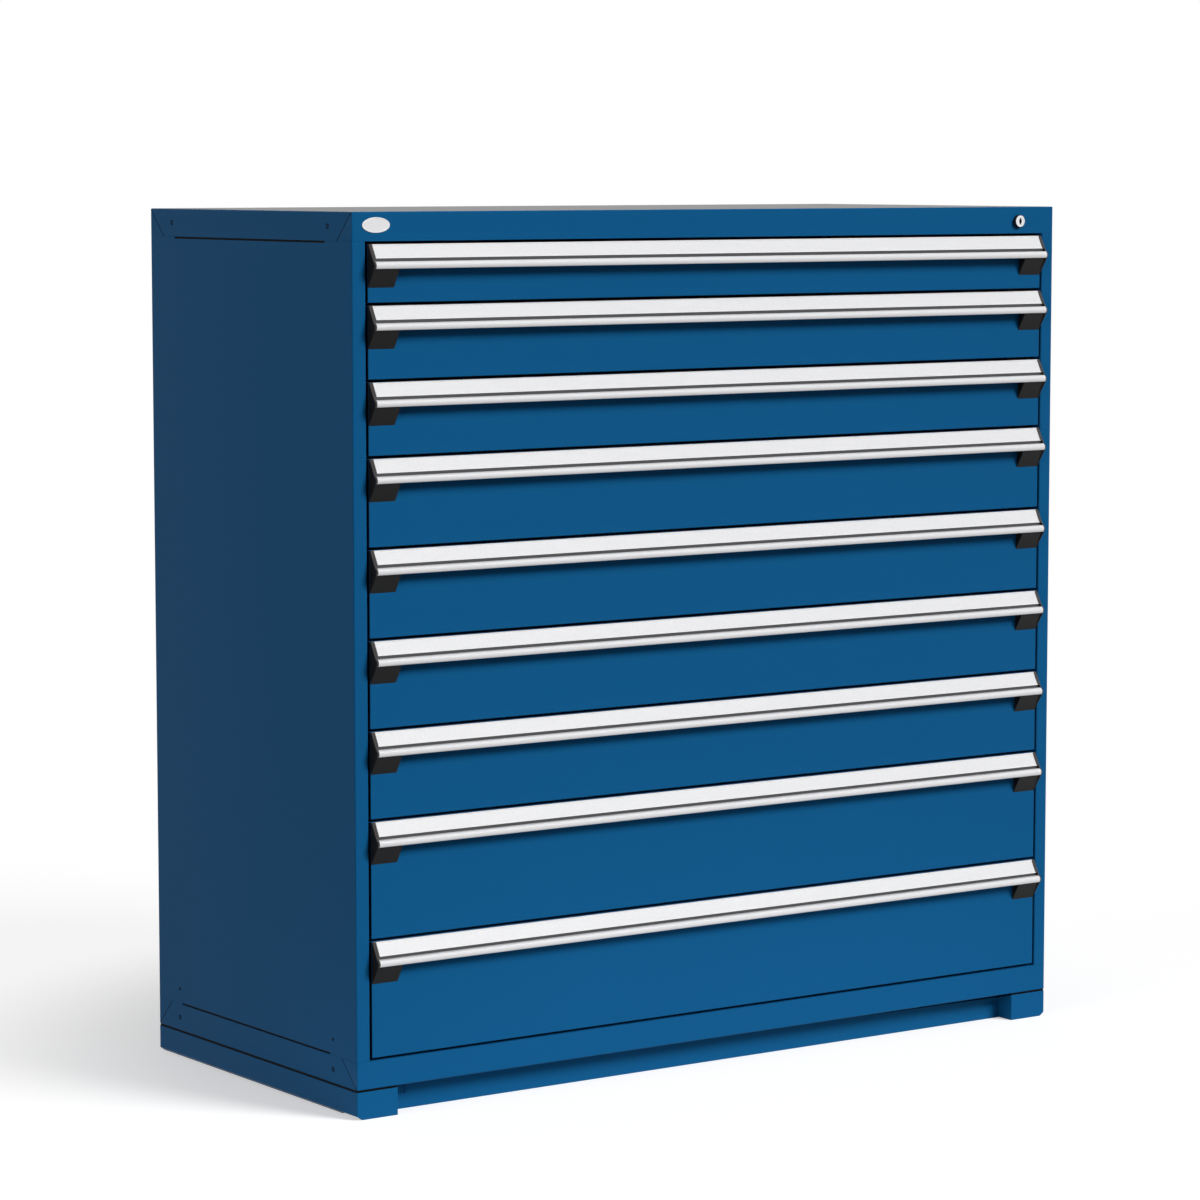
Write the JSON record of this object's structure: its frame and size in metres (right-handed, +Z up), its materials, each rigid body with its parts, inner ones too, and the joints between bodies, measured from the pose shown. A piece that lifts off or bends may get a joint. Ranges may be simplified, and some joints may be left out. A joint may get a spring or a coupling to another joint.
{
  "type": "modular drawer cabinet",
  "caption": "Wide low-based steel cabinet with full-extension drawers, full-width aluminium handle rails with black end caps, a central lock and a recessed kick plate.",
  "frame": {"origin": "on the floor, under the middle of the object's box", "axes": "+X to the right, -Y towards the person who opens the drawers, +Z up"},
  "size_m": [1.524, 0.7056, 1.524],
  "materials": {
    "blue_paint": "satin powder coat",
    "tray_paint": "light grey powder coat",
    "runner_steel": "zinc plated",
    "handle_aluminium": "satin anodised",
    "cap_plastic": "fine moulded grain",
    "lock_chrome": "polished",
    "lock_steel": "zinc plated",
    "badge_white": "plain"
  },
  "bodies": {
    "cabinet": {"top_pan": "blue_paint", "bottom_pan": "blue_paint", "left_side_panel": "blue_paint", "right_side_panel": "blue_paint", "back_panel": "blue_paint", "runner_uprights": "runner_steel", "cabinet_runners": "runner_steel", "base_frame": "blue_paint", "kick_plate": "blue_paint", "side_screws": "blue_paint", "lock_barrel": "lock_chrome", "badge_plate": "badge_white"},
    "lock_plug": {"lock_plug": "lock_chrome", "lock_cam": "lock_steel"},
    "lock_bar": {"lock_bar": "lock_steel"},
    "drawer_1": {"drawer_1_tray": "tray_paint", "drawer_1_front": "blue_paint", "drawer_1_handle": "handle_aluminium", "drawer_1_end_caps": "cap_plastic"},
    "carriage_1": {"drawer_1_carriages": "runner_steel"},
    "drawer_2": {"drawer_2_tray": "tray_paint", "drawer_2_front": "blue_paint", "drawer_2_handle": "handle_aluminium", "drawer_2_end_caps": "cap_plastic"},
    "carriage_2": {"drawer_2_carriages": "runner_steel"},
    "drawer_3": {"drawer_3_tray": "tray_paint", "drawer_3_front": "blue_paint", "drawer_3_handle": "handle_aluminium", "drawer_3_end_caps": "cap_plastic"},
    "carriage_3": {"drawer_3_carriages": "runner_steel"},
    "drawer_4": {"drawer_4_tray": "tray_paint", "drawer_4_front": "blue_paint", "drawer_4_handle": "handle_aluminium", "drawer_4_end_caps": "cap_plastic"},
    "carriage_4": {"drawer_4_carriages": "runner_steel"},
    "drawer_5": {"drawer_5_tray": "tray_paint", "drawer_5_front": "blue_paint", "drawer_5_handle": "handle_aluminium", "drawer_5_end_caps": "cap_plastic"},
    "carriage_5": {"drawer_5_carriages": "runner_steel"},
    "drawer_6": {"drawer_6_tray": "tray_paint", "drawer_6_front": "blue_paint", "drawer_6_handle": "handle_aluminium", "drawer_6_end_caps": "cap_plastic"},
    "carriage_6": {"drawer_6_carriages": "runner_steel"},
    "drawer_7": {"drawer_7_tray": "tray_paint", "drawer_7_front": "blue_paint", "drawer_7_handle": "handle_aluminium", "drawer_7_end_caps": "cap_plastic"},
    "carriage_7": {"drawer_7_carriages": "runner_steel"},
    "drawer_8": {"drawer_8_tray": "tray_paint", "drawer_8_front": "blue_paint", "drawer_8_handle": "handle_aluminium", "drawer_8_end_caps": "cap_plastic"},
    "carriage_8": {"drawer_8_carriages": "runner_steel"},
    "drawer_9": {"drawer_9_tray": "tray_paint", "drawer_9_front": "blue_paint", "drawer_9_handle": "handle_aluminium", "drawer_9_end_caps": "cap_plastic"},
    "carriage_9": {"drawer_9_carriages": "runner_steel"}
  },
  "joints": [
    {"name": "bar_lift", "type": "slide", "parent": "cabinet", "child": "lock_bar", "axis": [0, 0, 1], "range_m": [0, 0.01]},
    {"name": "lock_turn", "type": "hinge", "parent": "cabinet", "child": "lock_plug", "pos_m": [0.677, -0.32925, 1.4977], "axis": [0, -1, 0], "range_deg": [0, 90]},
    {"name": "drawer_1_slide", "type": "slide", "parent": "cabinet", "child": "drawer_1", "axis": [0, -1, 0], "range_m": [0, 0.6]},
    {"name": "carriage_1_slide", "type": "slide", "parent": "cabinet", "child": "carriage_1", "axis": [0, -1, 0], "range_m": [0, 0.3]},
    {"name": "drawer_2_slide", "type": "slide", "parent": "cabinet", "child": "drawer_2", "axis": [0, -1, 0], "range_m": [0, 0.6]},
    {"name": "carriage_2_slide", "type": "slide", "parent": "cabinet", "child": "carriage_2", "axis": [0, -1, 0], "range_m": [0, 0.3]},
    {"name": "drawer_3_slide", "type": "slide", "parent": "cabinet", "child": "drawer_3", "axis": [0, -1, 0], "range_m": [0, 0.6]},
    {"name": "carriage_3_slide", "type": "slide", "parent": "cabinet", "child": "carriage_3", "axis": [0, -1, 0], "range_m": [0, 0.3]},
    {"name": "drawer_4_slide", "type": "slide", "parent": "cabinet", "child": "drawer_4", "axis": [0, -1, 0], "range_m": [0, 0.6]},
    {"name": "carriage_4_slide", "type": "slide", "parent": "cabinet", "child": "carriage_4", "axis": [0, -1, 0], "range_m": [0, 0.3]},
    {"name": "drawer_5_slide", "type": "slide", "parent": "cabinet", "child": "drawer_5", "axis": [0, -1, 0], "range_m": [0, 0.6]},
    {"name": "carriage_5_slide", "type": "slide", "parent": "cabinet", "child": "carriage_5", "axis": [0, -1, 0], "range_m": [0, 0.3]},
    {"name": "drawer_6_slide", "type": "slide", "parent": "cabinet", "child": "drawer_6", "axis": [0, -1, 0], "range_m": [0, 0.6]},
    {"name": "carriage_6_slide", "type": "slide", "parent": "cabinet", "child": "carriage_6", "axis": [0, -1, 0], "range_m": [0, 0.3]},
    {"name": "drawer_7_slide", "type": "slide", "parent": "cabinet", "child": "drawer_7", "axis": [0, -1, 0], "range_m": [0, 0.6]},
    {"name": "carriage_7_slide", "type": "slide", "parent": "cabinet", "child": "carriage_7", "axis": [0, -1, 0], "range_m": [0, 0.3]},
    {"name": "drawer_8_slide", "type": "slide", "parent": "cabinet", "child": "drawer_8", "axis": [0, -1, 0], "range_m": [0, 0.6]},
    {"name": "carriage_8_slide", "type": "slide", "parent": "cabinet", "child": "carriage_8", "axis": [0, -1, 0], "range_m": [0, 0.3]},
    {"name": "drawer_9_slide", "type": "slide", "parent": "cabinet", "child": "drawer_9", "axis": [0, -1, 0], "range_m": [0, 0.6]},
    {"name": "carriage_9_slide", "type": "slide", "parent": "cabinet", "child": "carriage_9", "axis": [0, -1, 0], "range_m": [0, 0.3]}
  ],
  "couplings": [
    {"joint": "lock_turn", "follows": "bar_lift", "rad_per_m": 157.08},
    {"joint": "carriage_1_slide", "follows": "drawer_1_slide", "ratio": 0.5},
    {"joint": "carriage_2_slide", "follows": "drawer_2_slide", "ratio": 0.5},
    {"joint": "carriage_3_slide", "follows": "drawer_3_slide", "ratio": 0.5},
    {"joint": "carriage_4_slide", "follows": "drawer_4_slide", "ratio": 0.5},
    {"joint": "carriage_5_slide", "follows": "drawer_5_slide", "ratio": 0.5},
    {"joint": "carriage_6_slide", "follows": "drawer_6_slide", "ratio": 0.5},
    {"joint": "carriage_7_slide", "follows": "drawer_7_slide", "ratio": 0.5},
    {"joint": "carriage_8_slide", "follows": "drawer_8_slide", "ratio": 0.5},
    {"joint": "carriage_9_slide", "follows": "drawer_9_slide", "ratio": 0.5}
  ]
}
